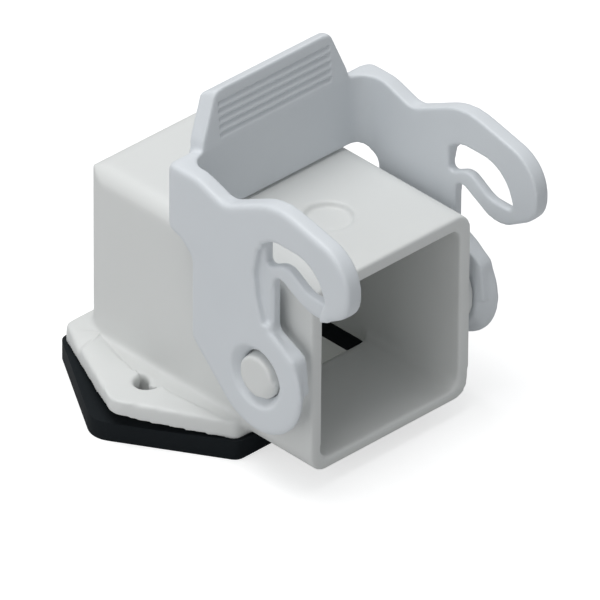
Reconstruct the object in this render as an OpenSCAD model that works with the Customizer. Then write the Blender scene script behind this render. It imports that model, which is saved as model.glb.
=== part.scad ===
// Heavy duty rectangular connector, one-lever size:
// angled bulkhead housing for panel mounting.
//
// Three pieces.  The housing is one moulding: elbow body, square mating
// collar, two-ear flange and the two bosses the lever swings on.  The
// flange gasket lies under the flange.  The locking lever is one moulding
// too: two hook plates joined by a grip wall.
//
// Millimetres.  Origin: centre of the opening in the panel, on the
// underside of the gasket.  +Z is up, the mating opening looks along -Y.

/* [Pieces] */
// Piece to build, or all of them together

/* [Elbow body] */
// Width and height of the square passage, at both openings
passage = 21; // [16:0.5:30]
// Distance from the panel opening's centre to the mating rim
rim_reach = 24.6; // [20:0.2:40]
// Thickness of the side walls
side_wall = 1.6; // [1:0.1:3]
// Thickness of the top wall
top_wall = 1.7; // [1:0.1:3]
// Thickness of the mating collar's lower wall
floor_wall = 1.3; // [1:0.1:3]
// Thickness of the rear wall
rear_wall = 2.3; // [1:0.1:4]
// Rounding of the long outer edges
body_r = 2.2; // [0.5:0.1:4]
// Rounding of the rear outer edges
rear_r = 1.8; // [0.5:0.1:4]
// Rounding of the passage's inner edges
passage_r = 1.4; // [0.4:0.1:3]
// Diameter of the round mark sunk into the top
mark_d = 5.6; // [2:0.1:8]
// Depth of that mark
mark_depth = 0.7; // [0.2:0.1:1.2]
// Distance from the rim back to the mark's centre
mark_back = 10.1; // [6:0.1:16]

/* [Flange] */
// Thickness of the flange
flange_t = 2.3; // [1.5:0.1:4]
// Distance from the flange's middle to its front and rear edges
flange_half_y = 13.9; // [12.5:0.1:22]
// Half the length of the front and rear edges
flange_edge_x = 13.15; // [12.5:0.05:22]
// Distance from the middle to the sharp tip of an ear
flange_tip_x = 21.7; // [21:0.1:32]
// Rounding of an ear's tip
ear_r = 3; // [1:0.1:5]
// Rounding of the flange's four other corners
flange_r = 1.3; // [0.5:0.1:3]
// Distance between the two screw holes
hole_pitch = 31.5; // [30:0.1:45]
// Diameter of the screw holes
hole_d = 3.3; // [2.5:0.1:4.5]
// Width and depth of the chamfer round each screw hole
hole_chamfer = 0.3; // [0.1:0.1:0.8]

/* [Gasket] */
// Thickness of the gasket
gasket_t = 2.4; // [1:0.1:4]
// How far the gasket stands out beyond the flange
gasket_proud = 0.45; // [0:0.05:1]

/* [Pivot] */
// Distance from the rim back to the pivot axis
pivot_back = 5.6; // [5:0.1:9]
// Diameter of the pivot bosses
boss_d = 5.6; // [4:0.1:7]
// Radial play of the lever on a boss
boss_play = 0.06; // [0.03:0.01:0.1]
// Diameter of the pad round the foot of a boss
pad_d = 10.4; // [8:0.1:14]
// Gap between a pad and the lever plate
pad_play = 0.15; // [0.1:0.05:0.4]
// Diameter of the bevel round the lever's pivot hole
bevel_d = 7.8; // [6.6:0.1:9]
// Size of the slanted cut on the boss end that the lever snaps over
ramp = 0.6; // [0.3:0.1:1.5]
// Turn of that cut from straight down towards the front, degrees
ramp_turn = 60; // [0:5:90]

/* [Lever plates] */
// Thickness of a plate
plate_t = 2.1; // [1.5:0.1:3]
// Space between the collar's side and a plate
plate_space = 1.15; // [0.8:0.05:3]
// Radius of the round foot about the pivot
foot_r = 7.1; // [6:0.1:8.5]
// Slope-cut of the foot's inner edge, across and deep
foot_bevel = 1.6; // [0.5:0.1:1.8]
// Distance from the pivot back to the rear edge of the neck
neck_back = 10.4; // [8:0.1:12]
// Distance from the pivot forward to the root of the hook mouth
mouth_root = 1.85; // [1:0.05:3]
// Height of the mouth's root above the pivot, lower corner
mouth_low = 6.55; // [6:0.05:7.5]
// Height of the mouth's root above the pivot, upper corner
mouth_high = 14.4; // [13:0.05:14.7]
// Distance from the pivot forward to the tip of the lower lip
lip_reach = 6; // [5:0.1:7]
// Height of the lower lip's tip above the pivot
lip_z = 4.65; // [4:0.05:5.2]
// Rounding of the lower lip's tip
lip_r = 1.2; // [0.5:0.1:1.5]
// Distance from the pivot forward to the end of the claw
claw_reach = 14.5; // [12.5:0.1:16]
// Height of the claw's underside above the pivot
claw_under = 11.5; // [10.8:0.1:12.3]
// Distance from the pivot forward to where the underside levels out
finger_f = 7.2; // [6.6:0.1:7.8]
// Distance from the pivot forward to where the nose starts to rise
nose_f = 9.6; // [9:0.1:10.4]
// Height of the nose's upper corner above the pivot
nose_z = 14.4; // [13:0.1:15]
// Height of the claw's top, above the pivot, at its front
claw_top = 21.1; // [20.6:0.1:23]
// Rounding of the claw's upper front
claw_r = 5; // [3:0.1:5.6]
// Height of the crest over the claw above the pivot
crest_z = 23.9; // [22:0.1:25]
// Distance from the pivot forward to the crest
crest_f = 2.7; // [1:0.1:5]
// Depth of the sunk field on the outer face of the spring finger
field_depth = 0.85; // [0.3:0.05:1.2]

/* [Banana slot] */
// Distance from the pivot forward to the slot's rear end
slot_rear = 0.7; // [0:0.1:1.5]
// Distance from the pivot forward to the slot's pointed front end
slot_tip = 11; // [10:0.1:11.5]
// Height of the slot's lowest edge above the pivot
slot_low = 13.9; // [13.4:0.1:14.5]
// Height of the finger's crown inside the slot
slot_crown = 16; // [15.2:0.05:16.4]
// Height of the slot's upper edge above the pivot
slot_top = 18.95; // [18.3:0.05:19.6]
// Distance from the pivot forward to the sunk field's rear edge
field_rear = -0.4; // [-1.5:0.1:0]

/* [Grip wall] */
// Distance from the pivot back to the wall's front face
grip_back = 12.8; // [11:0.1:14]
// Thickness of the grip wall
grip_t = 2.2; // [1.5:0.1:3]
// Space between the body's top and the grip wall
grip_space = 0.7; // [0.3:0.1:2]
// Height of the lever's shoulders above the grip wall's lower edge
shoulder_h = 8.5; // [7:0.1:10]
// Height of the grip wall
grip_h = 15.6; // [12:0.1:20]
// Half the width of the grip at its top
grip_top_x = 8.7; // [6:0.1:11]
// Half the width of the grip where it leaves the shoulders
grip_low_x = 11.3; // [9:0.1:12]
// Rounding of the grip's top corners
grip_r = 1.2; // [0.5:0.1:3]
// Rounding of the lever's rear corners
lever_r = 2; // [0.8:0.1:2.2]
// Rounding between the plates and the grip wall, inside
fillet_r = 2.2; // [1:0.1:4]
// Number of grip grooves
groove_n = 5; // [3:1:7]
// Distance from one groove to the next
groove_pitch = 1.05; // [0.8:0.05:1.5]
// Height of a groove
groove_w = 0.5; // [0.3:0.05:0.8]
// Depth of a groove
groove_depth = 0.35; // [0.2:0.05:0.6]

/* [Hidden] */
$fn = 48;

// Overshoot of a cutting body beyond the face it opens.
cut = 1;
// Hair's breadth between an arc's ends and the straight edges they meet.
ease = 0.01;
// Rounding of short inner corners.
small_r = 0.5;

half_in = passage / 2;
half_out = half_in + side_wall;
flange_z = gasket_t;
floor_z = flange_z + floor_wall;
body_top = floor_z + passage + top_wall;
rim_y = -rim_reach;
rear_y = half_in + rear_wall;

// Angle between an ear's slanted edge and the Y axis.
ear_slant = atan((flange_tip_x - flange_edge_x) / flange_half_y);

pivot_y = rim_y + pivot_back;
pivot_z = floor_z + half_in;
top_rel = body_top - pivot_z;

plate_in = half_out + plate_space;
plate_out = plate_in + plate_t;
bore_r = boss_d / 2 + boss_play;

// Side view of the lever: f runs forward and z up, both from the pivot.
grip_z = top_rel + grip_space;
grip_end = grip_back + grip_t;
shoulder_z = grip_z + shoulder_h;
grip_top = grip_z + grip_h;
foot_tangent = foot_r / sqrt(2);
// Lower corner of the neck, where the 45 degree edge from the foot ends.
neck_low = neck_back - 2 * foot_tangent;
// Dip between the shoulder and the crest.
dip_f = -5.3;
dip_z = shoulder_z - 1.45;
// Front end of the shoulder's flat top.
shoulder_f = -9.5;

// ---- outlines ---------------------------------------------------------

function unit(v) = v / norm(v);
function flat(p) = [p[0], p[1]];
function turn(a, b) = a[0] * b[1] - a[1] * b[0];

// Corner i of a closed outline: its point and the unit directions from
// it to the corners before and after it.
function at(c, i) = flat(c[(i + len(c)) % len(c)]);
function back(c, i) = unit(at(c, i - 1) - at(c, i));
function ahead(c, i) = unit(at(c, i + 1) - at(c, i));
function half_angle(c, i) = acos(back(c, i) * ahead(c, i)) / 2;
function run(c, i) = c[i][2] / tan(half_angle(c, i));
function arc_start(c, i) = at(c, i) + run(c, i) * back(c, i);
function arc_end(c, i) = at(c, i) + run(c, i) * ahead(c, i);
function arc_centre(c, i) =
    at(c, i) + c[i][2] / sin(half_angle(c, i)) * unit(back(c, i) + ahead(c, i));
function is_convex(c, i) = turn(ahead(c, i), back(c, i)) > 0;

// The piece of disc between corner i's chord and its arc.
module arc_segment(c, i) {
    a = arc_start(c, i);
    b = arc_end(c, i);
    out = 1.2 * (at(c, i) - (a + b) / 2);
    intersection() {
        translate(arc_centre(c, i)) circle(c[i][2] - ease);
        polygon([a, a + out, b + out, b]);
    }
}

// Closed outline through [x, y, rounding] corners, listed anticlockwise.
module rounded(c) {
    n = len(c);
    difference() {
        union() {
            polygon([for (i = [0 : n - 1])
                each c[i][2] > 0 ? [arc_start(c, i), arc_end(c, i)] : [at(c, i)]]);
            for (i = [0 : n - 1])
                if (c[i][2] > 0 && is_convex(c, i)) arc_segment(c, i);
        }
        for (i = [0 : n - 1])
            if (c[i][2] > 0 && !is_convex(c, i)) arc_segment(c, i);
    }
}

// Rectangle from [x0, y0] to [x1, y1] with corners of radius r.
module rounded_box(x0, y0, x1, y1, r) {
    rounded([[x0, y0, r], [x1, y0, r], [x1, y1, r], [x0, y1, r]]);
}

// Stands an outline drawn in X and Z up along Y, from y0 to y1.
module along_y(y0, y1) {
    translate([0, y1, 0]) rotate([90, 0, 0]) linear_extrude(y1 - y0) children();
}

// Stands an outline drawn in Y and Z up along X, from x0 to x1.
module along_x(x0, x1) {
    translate([x0, 0, 0]) rotate([90, 0, 90]) linear_extrude(x1 - x0) children();
}

// ---- housing ----------------------------------------------------------

module elbow_outside() {
    intersection() {
        along_y(rim_y, rear_y + cut)
            rounded_box(-half_out, flange_z, half_out, body_top, body_r);
        translate([0, 0, flange_z - cut])
            linear_extrude(body_top - flange_z + 2 * cut)
            rounded([[-half_out, rim_y - cut, 0], [half_out, rim_y - cut, 0],
                     [half_out, rear_y, rear_r], [-half_out, rear_y, rear_r]]);
        along_x(-half_out - cut, half_out + cut)
            rounded([[rim_y - cut, flange_z - cut, 0], [rear_y, flange_z - cut, 0],
                     [rear_y, body_top, rear_r], [rim_y - cut, body_top, 0]]);
    }
}

// Level passage from the mating rim and upright passage from the panel.
module elbow_inside() {
    along_y(rim_y - cut, half_in)
        rounded_box(-half_in, floor_z, half_in, floor_z + passage, passage_r);
    translate([0, 0, flange_z - cut])
        linear_extrude(half_in)
        rounded_box(-half_in, -half_in, half_in, half_in, passage_r);
}

// Six-cornered flange outline, enlarged all round by proud.
module flange_outline(proud) {
    tip = flange_tip_x + proud / cos(ear_slant);
    y = flange_half_y + proud;
    x = tip - y * tan(ear_slant);
    rounded([[-x, -y, flange_r], [x, -y, flange_r], [tip, 0, ear_r],
             [x, y, flange_r], [-x, y, flange_r], [-tip, 0, ear_r]]);
}

module screw_holes(z0, z1) {
    for (side = [-1, 1])
        translate([side * hole_pitch / 2, 0, z0])
            cylinder(d = hole_d, h = z1 - z0);
}

module flange() {
    z = flange_z + flange_t;
    difference() {
        translate([0, 0, flange_z]) linear_extrude(flange_t) flange_outline(0);
        screw_holes(flange_z - cut, z + cut);
        for (side = [-1, 1])
            translate([side * hole_pitch / 2, 0, z - hole_chamfer])
                cylinder(d1 = hole_d, d2 = hole_d + 4 * hole_chamfer,
                         h = 2 * hole_chamfer);
    }
}

// Pad and boss on one side of the collar, drawn along +X.
module pivot_boss() {
    inside = half_out - side_wall / 2;
    translate([0, pivot_y, pivot_z]) rotate([0, 90, 0]) {
        translate([0, 0, inside])
            cylinder(d = pad_d, h = plate_in - pad_play - inside);
        difference() {
            translate([0, 0, inside]) cylinder(d = boss_d, h = plate_out - inside);
            rotate([0, 0, -ramp_turn]) translate([boss_d / 2 - ramp, 0, plate_out])
                rotate([0, 45, 0]) translate([-boss_d / 2, -boss_d / 2, 0])
                    cube([boss_d, boss_d, boss_d]);
        }
    }
}

module housing() {
    color([0.86, 0.87, 0.87])
    difference() {
        union() {
            elbow_outside();
            flange();
            pivot_boss();
            mirror([1, 0, 0]) pivot_boss();
        }
        elbow_inside();
        translate([0, rim_y + mark_back, body_top - mark_depth])
            cylinder(d = mark_d, h = mark_depth + cut);
    }
}

// ---- gasket -----------------------------------------------------------

module flange_gasket() {
    color([0.07, 0.09, 0.10])
    difference() {
        linear_extrude(gasket_t) flange_outline(gasket_proud);
        translate([0, 0, -cut]) linear_extrude(gasket_t + 2 * cut)
            rounded_box(-half_in, -half_in, half_in, half_in, passage_r);
        screw_holes(-cut, gasket_t + cut);
    }
}

// ---- locking lever ----------------------------------------------------

// Side view without the round foot.
module plate_outline() {
    rounded([
        [lip_reach + small_r, 0, 0],
        [lip_reach, lip_z, lip_r],
        [mouth_root, mouth_low, 1.4],
        [mouth_root, mouth_high, 1],
        [finger_f, claw_under, 2.5],
        [nose_f, claw_under, 2.5],
        [claw_reach, nose_z, 3.5],
        [claw_reach, claw_top, claw_r],
        [crest_f, crest_z, 8],
        [dip_f, dip_z, 2],
        [shoulder_f, shoulder_z, 4],
        [-grip_end, shoulder_z, lever_r],
        [-grip_end, grip_z, small_r],
        [-grip_back + small_r, grip_z - small_r, 1],
        [-neck_back, grip_z - grip_t, 1],
        [-neck_back, neck_low, 1.5],
        [-foot_tangent, -foot_tangent, 0]]);
}

// Curved slot that frees the spring finger above the hook mouth.
module slot_outline() {
    rounded([
        [slot_rear, slot_low + small_r, small_r],
        [slot_rear + 3, slot_crown, 2],
        [finger_f, slot_low, 2.5],
        [slot_tip, slot_low, 0.8],
        [slot_tip - 1.8, slot_top, 4.5],
        [slot_rear + 1.9, slot_top, 3],
        [slot_rear, slot_top - 1.25, small_r]]);
}

// Field round the finger, sunk into the outer face.
module field_outline() {
    rounded([
        [mouth_root / 2, mouth_low + 0.8, 0],
        [mouth_root + 2, mouth_low + 1, 0],
        [nose_f - 0.3, claw_under - cut, 0],
        [slot_tip - 0.6, slot_low + small_r, 0],
        [slot_rear + small_r, slot_top - 1.3, 0],
        [field_rear + 0.6, slot_top - 2.25, 0],
        [field_rear, slot_low - small_r, 0],
        [field_rear + 0.4, (mouth_low + mouth_high) / 2, 0]]);
}

// Seen from above: two plates and the wall between them.
module lever_plan() {
    y = grip_back;
    front = -claw_reach - cut;
    difference() {
        rounded([[-plate_out, front, 0], [plate_out, front, 0],
                 [plate_out, grip_end, lever_r], [-plate_out, grip_end, lever_r]]);
        rounded([[-plate_in, front - cut, 0], [plate_in, front - cut, 0],
                 [plate_in, y, fillet_r], [-plate_in, y, fillet_r]]);
    }
}

// Stands a side-view outline up across the lever, from x0 to x1.
module across(x0, x1) {
    translate([x0, 0, 0]) mirror([0, 1, 0]) rotate([90, 0, 90])
        linear_extrude(x1 - x0) children();
}

// Round foot of the plate on the +X side, with its bevelled inner edge.
module foot() {
    translate([plate_in, 0, 0]) rotate([0, 90, 0]) {
        cylinder(r1 = foot_r - foot_bevel, r2 = foot_r, h = foot_bevel);
        translate([0, 0, foot_bevel]) cylinder(r = foot_r, h = plate_t - foot_bevel);
    }
}

module grip() {
    low = shoulder_z - lever_r;
    along_y(grip_back, grip_end)
        rounded([[-plate_in, grip_z + lever_r, 0], [plate_in, grip_z + lever_r, 0],
                 [plate_in, low, 0], [grip_low_x, low + 0.6, 0.6],
                 [grip_low_x - 0.3, shoulder_z + cut, 2],
                 [grip_top_x, grip_top, grip_r], [-grip_top_x, grip_top, grip_r],
                 [-grip_low_x + 0.3, shoulder_z + cut, 2],
                 [-grip_low_x, low + 0.6, 0.6], [-plate_in, low, 0]]);
}

// Everything taken out of the plate on the +X side.
module plate_cuts() {
    across(plate_in - cut, plate_out + cut) slot_outline();
    across(plate_out - field_depth, plate_out + cut) field_outline();
    translate([plate_in - cut, 0, 0]) rotate([0, 90, 0])
        cylinder(r = bore_r, h = plate_t + 2 * cut);
    bevel = bevel_d / 2 - bore_r;
    translate([plate_out - bevel, 0, 0]) rotate([0, 90, 0])
        cylinder(r1 = bore_r, r2 = bore_r + 2 * bevel, h = 2 * bevel);
}

module locking_lever() {
    color([0.82, 0.84, 0.86])
    translate([0, pivot_y, pivot_z])
    difference() {
        union() {
            intersection() {
                across(-plate_out, plate_out) plate_outline();
                translate([0, 0, -foot_r]) linear_extrude(foot_r + crest_z + cut)
                    lever_plan();
            }
            foot();
            mirror([1, 0, 0]) foot();
            grip();
        }
        plate_cuts();
        mirror([1, 0, 0]) plate_cuts();
        for (i = [0 : groove_n - 1])
            translate([-plate_out, grip_back - cut,
                       grip_top - grip_r - groove_pitch * i - groove_w])
                cube([2 * plate_out, groove_depth + cut, groove_w]);
    }
}

housing();
flange_gasket();
locking_lever();
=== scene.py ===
# %% [markdown]
# # A one-lever rectangular connector housing
#
# The object is a small moulded plastic housing that screws to a cabinet
# wall.  It has three pieces: the elbow-shaped housing, a black rubber
# gasket under its flange, and a U-shaped lever that hooks over the mating
# hood.  The exact solids come from the frame; this script gives them the
# soft edges, the surface and the light of the real thing.

# %% Load the frame
import math

import bmesh
import bpy
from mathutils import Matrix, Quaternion, Vector


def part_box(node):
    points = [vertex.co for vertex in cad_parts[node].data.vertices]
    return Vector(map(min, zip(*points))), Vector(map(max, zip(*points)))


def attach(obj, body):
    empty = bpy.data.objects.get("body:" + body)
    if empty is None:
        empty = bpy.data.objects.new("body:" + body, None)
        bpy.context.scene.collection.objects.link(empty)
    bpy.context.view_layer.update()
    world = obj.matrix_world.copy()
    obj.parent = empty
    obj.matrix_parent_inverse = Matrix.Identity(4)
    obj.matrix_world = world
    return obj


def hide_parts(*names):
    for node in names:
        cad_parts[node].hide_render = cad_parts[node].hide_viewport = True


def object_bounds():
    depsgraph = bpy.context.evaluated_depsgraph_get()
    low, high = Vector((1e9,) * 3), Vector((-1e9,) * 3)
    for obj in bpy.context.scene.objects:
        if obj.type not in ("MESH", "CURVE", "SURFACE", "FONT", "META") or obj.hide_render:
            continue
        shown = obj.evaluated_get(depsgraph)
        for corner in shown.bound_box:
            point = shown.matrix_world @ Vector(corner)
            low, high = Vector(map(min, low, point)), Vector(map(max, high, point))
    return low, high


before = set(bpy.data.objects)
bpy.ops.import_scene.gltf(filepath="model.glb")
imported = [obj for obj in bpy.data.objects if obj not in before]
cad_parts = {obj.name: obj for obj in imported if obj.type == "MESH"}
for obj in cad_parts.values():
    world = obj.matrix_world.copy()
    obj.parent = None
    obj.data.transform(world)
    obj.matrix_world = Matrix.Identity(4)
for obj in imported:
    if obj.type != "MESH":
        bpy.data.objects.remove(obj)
cad_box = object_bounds()

MM = 0.001

# %% [markdown]
# ## The camera
#
# The housing is seen from its front left and from a good third of the way
# up, from far away: parallel edges stay nearly parallel.  A long lens on a
# distant camera gives that look, where a short lens would flare the front.

# %% Camera
VIEW_AZIMUTH = math.radians(-43.97)
VIEW_ELEVATION = math.radians(33.47)
VIEW_ROLL = math.radians(0.40)
VIEW_DISTANCE = 1.58
SENSOR = 36.0
# Width of the picture where the object stands, and the point it aims at.
PICTURE_WIDTH = 0.0663
AIM = Vector((0.0, -9.6, 13.7)) * MM
# The lens is shifted a little: the object stands above the middle.
SHIFT_X, SHIFT_Y = 0.0050, -0.0103
CLIP_END = 20.0

towards = Vector((math.sin(VIEW_AZIMUTH) * math.cos(VIEW_ELEVATION),
                  -math.cos(VIEW_AZIMUTH) * math.cos(VIEW_ELEVATION),
                  math.sin(VIEW_ELEVATION)))
camera_data = bpy.data.cameras.new("camera")
camera_data.sensor_width = SENSOR
camera_data.lens = SENSOR * VIEW_DISTANCE / PICTURE_WIDTH
camera_data.shift_x = SHIFT_X
camera_data.shift_y = SHIFT_Y
camera_data.clip_end = CLIP_END
camera = bpy.data.objects.new("camera", camera_data)
bpy.context.scene.collection.objects.link(camera)
camera.location = AIM + towards * VIEW_DISTANCE
turned = Quaternion(towards, VIEW_ROLL) @ towards.to_track_quat("Z", "Y")
camera.rotation_euler = turned.to_euler()
bpy.context.scene.camera = camera
print("lens %.0f mm from %.2f m" % (camera_data.lens, VIEW_DISTANCE))

# %% [markdown]
# ## Floor and light
#
# A small product is shown in a light tent: a big soft lamp overhead, a
# weaker one from the front left and white all round.  The tops come out
# lightest, the sides a step darker and the inside of the collar dark.

# %% Colour handling
scene = bpy.context.scene
scene.view_settings.view_transform = "Standard"


def new_material(name):
    """An empty node material and its tree."""
    material = bpy.data.materials.new(name)
    material.use_nodes = True
    tree = material.node_tree
    tree.nodes.clear()
    return material, tree


def add(tree, kind, **values):
    """A node of that kind; values set its sockets (by name) or options."""
    node = tree.nodes.new(kind)
    for key, value in values.items():
        if key in node.inputs.keys():
            node.inputs[key].default_value = value
        else:
            setattr(node, key, value)
    return node


print("view transform:", scene.view_settings.view_transform)

# %% World
WORLD_STRENGTH = 0.35

world = bpy.data.worlds.new("light tent")
scene.world = world
world.use_nodes = True
tree = world.node_tree
tree.nodes.clear()
ambient = add(tree, "ShaderNodeBackground", Strength=WORLD_STRENGTH)
ambient.inputs["Color"].default_value = (0.95, 0.98, 1.0, 1.0)
seen = add(tree, "ShaderNodeBackground", Strength=1.0)
seen.inputs["Color"].default_value = (1.0, 1.0, 1.0, 1.0)
path = add(tree, "ShaderNodeLightPath")
either = add(tree, "ShaderNodeMath", operation="MAXIMUM")
mix = add(tree, "ShaderNodeMixShader")
out = add(tree, "ShaderNodeOutputWorld")
tree.links.new(path.outputs["Is Camera Ray"], either.inputs[0])
tree.links.new(path.outputs["Is Glossy Ray"], either.inputs[1])
tree.links.new(either.outputs[0], mix.inputs[0])
tree.links.new(ambient.outputs[0], mix.inputs[1])
tree.links.new(seen.outputs[0], mix.inputs[2])
tree.links.new(mix.outputs[0], out.inputs["Surface"])
print("world strength", WORLD_STRENGTH)

# %% Floor and opening
FLOOR_HALF, FLOOR_GAP = 1500.0, 0.02
PATCH_HALF, PATCH_GAP = 11.5, 0.01


def flat_square(name, half, gap):
    """A level square of the set, gap mm under the gasket."""
    bm = bmesh.new()
    bmesh.ops.create_grid(bm, x_segments=1, y_segments=1, size=half * MM)
    mesh = bpy.data.meshes.new(name)
    bm.to_mesh(mesh)
    bm.free()
    square = bpy.data.objects.new(name, mesh)
    scene.collection.objects.link(square)
    square.location.z = cad_box[0][2] - gap * MM
    return square


floor = flat_square("floor", FLOOR_HALF, FLOOR_GAP)
# Painted shade: a dim grey sheet just under the panel's opening stands for the floor lying
# in shadow there.
patch = flat_square("painted shade sheet", PATCH_HALF, PATCH_GAP)
print("floor at z = %.2f mm" % (floor.location.z / MM))

# %% Materials of the floor and the opening
# Painted shade with a faint painted glow: the sheet's grey base and weak emission give the
# shadowed floor in the opening its dim tone.
PAINTED_SHADE_GLOW = 0.10
FLOOR_LIFT = 0.62

material, tree = new_material("painted_opening_shade")
shade_paint = add(tree, "ShaderNodeBsdfPrincipled", Roughness=0.8)
shade_paint.inputs["Base Color"].default_value = (0.30, 0.31, 0.30, 1.0)
shade_paint.inputs["Emission Color"].default_value = (0.95, 1.0, 0.95, 1.0)
shade_paint.inputs["Emission Strength"].default_value = PAINTED_SHADE_GLOW
out = add(tree, "ShaderNodeOutputMaterial")
tree.links.new(shade_paint.outputs[0], out.inputs["Surface"])
patch.data.materials.append(material)

# White paper: to the camera it is lifted to the white of the tent.
material, tree = new_material("floor_white")
paper = add(tree, "ShaderNodeBsdfPrincipled", Roughness=0.9)
paper.inputs["Base Color"].default_value = (0.62, 0.62, 0.62, 1.0)
paper.inputs["Emission Color"].default_value = (1.0, 1.0, 1.0, 1.0)
path = add(tree, "ShaderNodeLightPath")
lift = add(tree, "ShaderNodeMath", operation="MULTIPLY")
lift.inputs[1].default_value = FLOOR_LIFT
out = add(tree, "ShaderNodeOutputMaterial")
tree.links.new(path.outputs["Is Camera Ray"], lift.inputs[0])
tree.links.new(lift.outputs[0], paper.inputs["Emission Strength"])
tree.links.new(paper.outputs[0], out.inputs["Surface"])
floor.data.materials.append(material)
print("floor lift", FLOOR_LIFT, "opening glow", PAINTED_SHADE_GLOW)


# %% Lamps
def soft_lamp(name, place, size, power):
    """A square area lamp at place (mm) that faces the object."""
    data = bpy.data.lights.new(name, "AREA")
    data.shape = "SQUARE"
    data.size = size * MM
    data.energy = power
    lamp = bpy.data.objects.new(name, data)
    scene.collection.objects.link(lamp)
    lamp.location = Vector(place) * MM
    away = lamp.location - AIM
    lamp.rotation_euler = away.to_track_quat("Z", "Y").to_euler()
    return lamp


lamps = [soft_lamp("overhead", (-60, 40, 420), 260, 1.05),
         soft_lamp("left", (-430, -40, 125), 400, 0.47)]
print("lamps:", [lamp.name for lamp in lamps])

# %% [markdown]
# ## Rounding the moulded edges
#
# A mould can't hold a knife edge, so every edge of the real pieces is
# softly rounded, most of all the rim of the lever's plates.  The solids of
# the frame have plain edges.  A copy of each moulding is remade as an even
# skin of small faces.  Smoothing that skin leaves flat places flat and
# turns each edge into a round: the more passes, the larger the round.


# %% Copies of the solids
MERGE_DISTANCE = 0.005


def merged_copy(node):
    """A bmesh of a frame piece with its doubles merged."""
    bm = bmesh.new()
    bm.from_mesh(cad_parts[node].data)
    bmesh.ops.remove_doubles(bm, verts=bm.verts, dist=MERGE_DISTANCE * MM)
    return bm


def even_skin(bm, size):
    """The same solid remade with faces of that size in mm."""
    mesh = bpy.data.meshes.new("skin")
    bm.to_mesh(mesh)
    bm.free()
    skin = bpy.data.objects.new("skin", mesh)
    scene.collection.objects.link(skin)
    remesh = skin.modifiers.new("even skin", "REMESH")
    remesh.mode = "VOXEL"
    remesh.voxel_size = size * MM
    bm = bmesh.new()
    bm.from_object(skin, bpy.context.evaluated_depsgraph_get())
    bpy.data.objects.remove(skin)
    bpy.data.meshes.remove(mesh)
    print("skin of", len(bm.faces), "faces")
    return bm


def soften(bm, passes, chosen):
    """Smooths the vertices whose place in mm passes the test."""
    verts = [v for v in bm.verts if chosen(v.co / MM)]
    for _ in range(passes):
        bmesh.ops.smooth_vert(bm, verts=verts, factor=0.5, use_axis_x=True,
                              use_axis_y=True, use_axis_z=True)
    print("   ", passes, "passes over", len(verts), "vertices")


# %% From bmesh to a finished piece
def finish_piece(bm, name, node, body, material):
    """Makes the piece, puts it on its body in place of its solid."""
    mesh = bpy.data.meshes.new(name)
    bm.to_mesh(mesh)
    bm.free()
    mesh.materials.append(material)
    piece = bpy.data.objects.new(name, mesh)
    scene.collection.objects.link(piece)
    for face in mesh.polygons:
        face.use_smooth = True
    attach(piece, body)
    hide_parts(node)
    print(name, len(mesh.polygons), "faces on", body)


# %% [markdown]
# ## The plastics
#
# Both mouldings are light grey thermoplastic with a faint spark-eroded
# grain.  The grain and the slow change of tone across a moulding are the
# same effect with other numbers, so they are one node group.


# %% Grain group
def grain_group():
    """Node group: fine surface grain and a slow drift of tone."""
    group = bpy.data.node_groups.new("moulding grain", "ShaderNodeTree")
    face = group.interface
    for label, value in (("Grain Size", 2600.0), ("Drift Size", 90.0)):
        socket = face.new_socket(label, in_out="INPUT",
                                 socket_type="NodeSocketFloat")
        socket.default_value = value
    for label in ("Tone", "Height"):
        face.new_socket(label, in_out="OUTPUT", socket_type="NodeSocketFloat")
    start = add(group, "NodeGroupInput")
    end = add(group, "NodeGroupOutput")
    place = add(group, "ShaderNodeTexCoord")
    grain = add(group, "ShaderNodeTexNoise", Detail=3.0, Roughness=0.6)
    drift = add(group, "ShaderNodeTexNoise", Detail=2.0, Roughness=0.5)
    for noise, label in ((grain, "Grain Size"), (drift, "Drift Size")):
        group.links.new(place.outputs["Object"], noise.inputs["Vector"])
        group.links.new(start.outputs[label], noise.inputs["Scale"])
    group.links.new(drift.outputs["Fac"], end.inputs["Tone"])
    group.links.new(grain.outputs["Fac"], end.inputs["Height"])
    return group


grain_nodes = grain_group()
print("group:", grain_nodes.name)


# %% Moulded material
GLOSS_SPREAD = 0.06
BUMP_STRENGTH = 0.35
PLASTIC_IOR = 1.5


def moulded(name, light, dark, rough, grain_depth, grain_size=2600.0,
            shine=0.5):
    """Plastic or rubber: two near tones, a grain and its roughness."""
    material, tree = new_material(name)
    grain = add(tree, "ShaderNodeGroup", node_tree=grain_nodes)
    grain.inputs["Grain Size"].default_value = grain_size
    tones = add(tree, "ShaderNodeMix", data_type="RGBA")
    tones.inputs["A"].default_value = (*dark, 1.0)
    tones.inputs["B"].default_value = (*light, 1.0)
    gloss = add(tree, "ShaderNodeMapRange")
    gloss.inputs["To Min"].default_value = rough - GLOSS_SPREAD
    gloss.inputs["To Max"].default_value = rough + GLOSS_SPREAD
    bump = add(tree, "ShaderNodeBump", Strength=BUMP_STRENGTH)
    bump.inputs["Distance"].default_value = grain_depth * MM
    surface = add(tree, "ShaderNodeBsdfPrincipled")
    surface.inputs["IOR"].default_value = PLASTIC_IOR
    surface.inputs["Specular IOR Level"].default_value = shine
    out = add(tree, "ShaderNodeOutputMaterial")
    link = tree.links.new
    link(grain.outputs["Tone"], tones.inputs["Factor"])
    link(tones.outputs["Result"], surface.inputs["Base Color"])
    link(grain.outputs["Tone"], gloss.inputs["Value"])
    link(gloss.outputs["Result"], surface.inputs["Roughness"])
    link(grain.outputs["Height"], bump.inputs["Height"])
    link(bump.outputs["Normal"], surface.inputs["Normal"])
    link(surface.outputs["BSDF"], out.inputs["Surface"])
    return material


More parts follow.
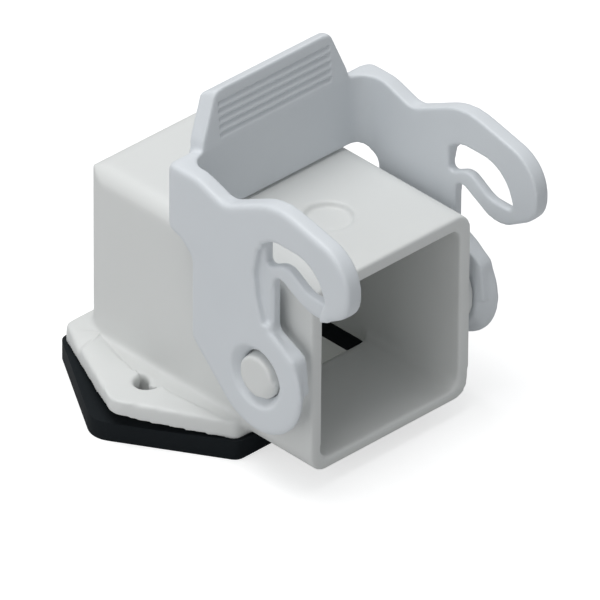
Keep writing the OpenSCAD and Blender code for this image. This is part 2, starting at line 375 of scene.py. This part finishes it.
housing_plastic = moulded("housing_plastic", (0.74, 0.75, 0.74),
                          (0.70, 0.71, 0.70), 0.48, 0.02)
lever_plastic = moulded("lever_plastic", (0.70, 0.73, 0.76),
                        (0.66, 0.69, 0.72), 0.45, 0.02)
gasket_rubber = moulded("gasket_rubber", (0.010, 0.013, 0.015),
                        (0.006, 0.008, 0.010), 0.8, 0.03, shine=0.12)
print("materials:", [m.name for m in bpy.data.materials])

# %% [markdown]
# ## The housing
#
# One moulding with fine edges.  The rear edges of the body are much rounder
# than the rest, the foot of the body flows into the flange, and the end of
# each pivot boss tapers a little.

# %% Housing sizes in mm
PIVOT_Y, PIVOT_Z = -19.0, 14.2
BOSS_FROM, BOSS_END, BOSS_TAPER = 13.3, 15.2, 0.88
FLANGE_THICK, FOOT_REACH, FOOT_CLEAR = 2.3, 1.0, 0.15
BASE_KEPT = 0.6
BODY_HALF, BODY_BACK = 12.1, 12.8
BODY_TOP = (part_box("housing")[1] / MM).z
UPRIGHT_ROUND, TOP_ROUND = 4.0, 3.5
HOUSING_SKIN = 0.25

gasket_top = (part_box("flange_gasket")[1] / MM).z
flange_top = gasket_top + FLANGE_THICK
print("flange top %.2f mm, body top %.2f mm" % (flange_top, BODY_TOP))


# %% Places on the housing
def pull_in(vert, axes, faces, radius):
    """Moves a vertex onto a larger round between two outer faces."""
    centre = [face - radius for face in faces]
    away = [abs(vert.co[axis]) / MM - c for axis, c in zip(axes, centre)]
    reach = math.hypot(*away)
    if min(away) > 0.0 and reach > radius:
        for axis, c, part in zip(axes, centre, away):
            placed = (c + part * radius / reach) * MM
            vert.co[axis] = math.copysign(placed, vert.co[axis])


def on_boss(p):
    """On a pivot boss."""
    return abs(p.x) > BOSS_FROM and p.z > flange_top + FOOT_REACH


def off_boss(p):
    """Above the gasket and not on a boss."""
    return p.z > gasket_top + BASE_KEPT and abs(p.x) < BOSS_FROM


def on_foot(p):
    """Near the flange's upper side."""
    return abs(p.z - flange_top) < FOOT_REACH


# %% Housing
bm = merged_copy("housing")
for vert in bm.verts:
    if abs(vert.co.x) > BOSS_END * MM:
        vert.co.y = (PIVOT_Y + (vert.co.y / MM - PIVOT_Y) * BOSS_TAPER) * MM
        vert.co.z = (PIVOT_Z + (vert.co.z / MM - PIVOT_Z) * BOSS_TAPER) * MM
bm = even_skin(bm, HOUSING_SKIN)
for vert in bm.verts:
    if vert.co.y > 0.0 and vert.co.z > (flange_top + FOOT_CLEAR) * MM:
        pull_in(vert, (0, 1), (BODY_HALF, BODY_BACK), UPRIGHT_ROUND)
        pull_in(vert, (1, 2), (BODY_BACK, BODY_TOP), TOP_ROUND)
soften(bm, 1, on_boss)
soften(bm, 4, off_boss)
soften(bm, 8, on_foot)
finish_piece(bm, "housing_moulding", "housing", "housing",
             housing_plastic)

# %% [markdown]
# ## The gasket
#
# A flat frame of soft rubber.  Its edges get only a fine round.

# %% Gasket
GASKET_ROUND = 0.3
SAME_FACE = math.radians(1.0)
EDGE_ANGLE = math.radians(30.0)

bm = merged_copy("flange_gasket")
bmesh.ops.dissolve_limit(bm, angle_limit=SAME_FACE,
                         verts=bm.verts, edges=bm.edges)
edges = [e for e in bm.edges if e.calc_face_angle(0.0) > EDGE_ANGLE]
bmesh.ops.bevel(bm, geom=edges, offset=GASKET_ROUND * MM, affect="EDGES",
                segments=3, profile=0.5, clamp_overlap=True, material=-1)
finish_piece(bm, "gasket_rubber_frame", "flange_gasket", "housing",
             gasket_rubber)

# %% [markdown]
# ## The lever
#
# Its plates have a generous round along the outer rim, a smaller one
# inside and fine ones round the slot, the sunk field and the pivot hole.
# Positions on a plate are given forward of the pivot and above it, in mm.

# %% Lever sizes in mm
PLATE_OUT = (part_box("locking_lever")[1] / MM).x
RIM_DEPTH, BORE_REACH = 1.1, 4.6
# Kept out of the rim's round: ranges forward and up.
SLOT_RANGE = ((-1.0, 11.3), (12.3, 19.5))
FIELD_RANGE = ((-1.0, 1.4), (6.8, 19.5))
LEVER_SKIN = 0.175
# The grip: a tab on top of the wall that joins the plates.
GRIP_FRONT, GRIP_TOP = PIVOT_Y + 12.8, 28.5
END_SLOPE, END_START, CUT_DISTANCE = 0.57, 0.3, 0.001
TAB_LOW, TAB_BACK, TAB_HALF = 21.35, 12.2, 11.7
LEAN_BACK, LEAN_DOWN = 0.6, 0.5
RIBS_TOP, RIB_PITCH, RIB_COUNT = 27.0, 1.05, 5
RIBS_LOW = RIBS_TOP - RIB_COUNT * RIB_PITCH
RIBS_END, RIB_DEEP, RIB_FALL = 8.4, 0.5, 0.75
# How far round the front face its vertices are looked for.
SLACK, GROOVE_DEEP, TOP_STRIP = 0.1, 0.6, 0.5

print("plates %.2f mm apart outside, %d ribs" % (2 * PLATE_OUT, RIB_COUNT))


# %% Places on the grip
def on_front(p):
    """On the front face of the grip's tab, grooves included."""
    return (RIBS_LOW - SLACK < p.z - PIVOT_Z < GRIP_TOP - TOP_STRIP
            and GRIP_FRONT - SLACK < p.y < GRIP_FRONT + GROOVE_DEEP
            and abs(p.x) < TAB_HALF)


def ribbed(p):
    """On the ribbed part of the grip's front face."""
    return (RIBS_LOW < p.z - PIVOT_Z < RIBS_TOP
            and on_front(p) and abs(p.x) < RIBS_END)


def rib_depth(up):
    """How far the sawtooth of the ribs lies behind the front face."""
    below = (RIBS_TOP - up) % RIB_PITCH
    return max(0.0, RIB_DEEP * (1.0 - below / RIB_FALL))


# %% Places on the plates
def out_of_bore(p):
    """Away from the pivot hole and its bevel."""
    return math.hypot(p.y - PIVOT_Y, p.z - PIVOT_Z) > BORE_REACH


def within(forward, up, ranges):
    """Inside a pair of ranges, forward and up."""
    (near, far), (low, high) = ranges
    return near < forward < far and low < up < high


def outer_rim(p):
    """Near a plate's outer face, away from its slot, field and bore."""
    forward, up = PIVOT_Y - p.y, p.z - PIVOT_Z
    return (abs(p.x) > PLATE_OUT - RIM_DEPTH and out_of_bore(p)
            and not within(forward, up, SLOT_RANGE)
            and not within(forward, up, FIELD_RANGE))


# %% [markdown]
# The plain grooves of the solid are closed, since ribs with a sawtooth
# profile take their place below.  The top end of the grip is cut to a
# slope, and the whole is given its skin and its rounds.

# %% Lever skin
bm = merged_copy("locking_lever")
for vert in bm.verts:
    if on_front(vert.co / MM):
        vert.co.y = GRIP_FRONT * MM
slope = Vector((0.0, END_SLOPE, 1.0)).normalized()
crest = Vector((0.0, GRIP_FRONT + END_START, PIVOT_Z + GRIP_TOP))
bmesh.ops.bisect_plane(bm, geom=bm.verts[:] + bm.edges[:] + bm.faces[:],
                       dist=CUT_DISTANCE * MM, plane_co=crest * MM, plane_no=slope,
                       clear_outer=True)
bmesh.ops.holes_fill(bm, edges=[e for e in bm.edges if e.is_boundary], sides=0)
print("open edges after the cut:", sum(e.is_boundary for e in bm.edges))
bm = even_skin(bm, LEVER_SKIN)
soften(bm, 2, lambda p: True)
soften(bm, 5, out_of_bore)
soften(bm, 22, outer_rim)

# %% [markdown]
# The ribs are a sawtooth: each one catches the light from above on its
# upper side.  The tab itself leans back a little.

# %% Ribs and lean
for vert in bm.verts:
    forward, up = PIVOT_Y - vert.co.y / MM, vert.co.z / MM - PIVOT_Z
    if (forward < -TAB_BACK and up > TAB_LOW
            and abs(vert.co.x) < TAB_HALF * MM):
        if ribbed(vert.co / MM):
            vert.co.y = (GRIP_FRONT + rib_depth(up)) * MM
        lean = (up - TAB_LOW) / (GRIP_TOP - TAB_LOW)
        vert.co.y += LEAN_BACK * lean * MM
        vert.co.z -= LEAN_DOWN * lean * MM
finish_piece(bm, "lever_moulding", "locking_lever", "lever",
             lever_plastic)
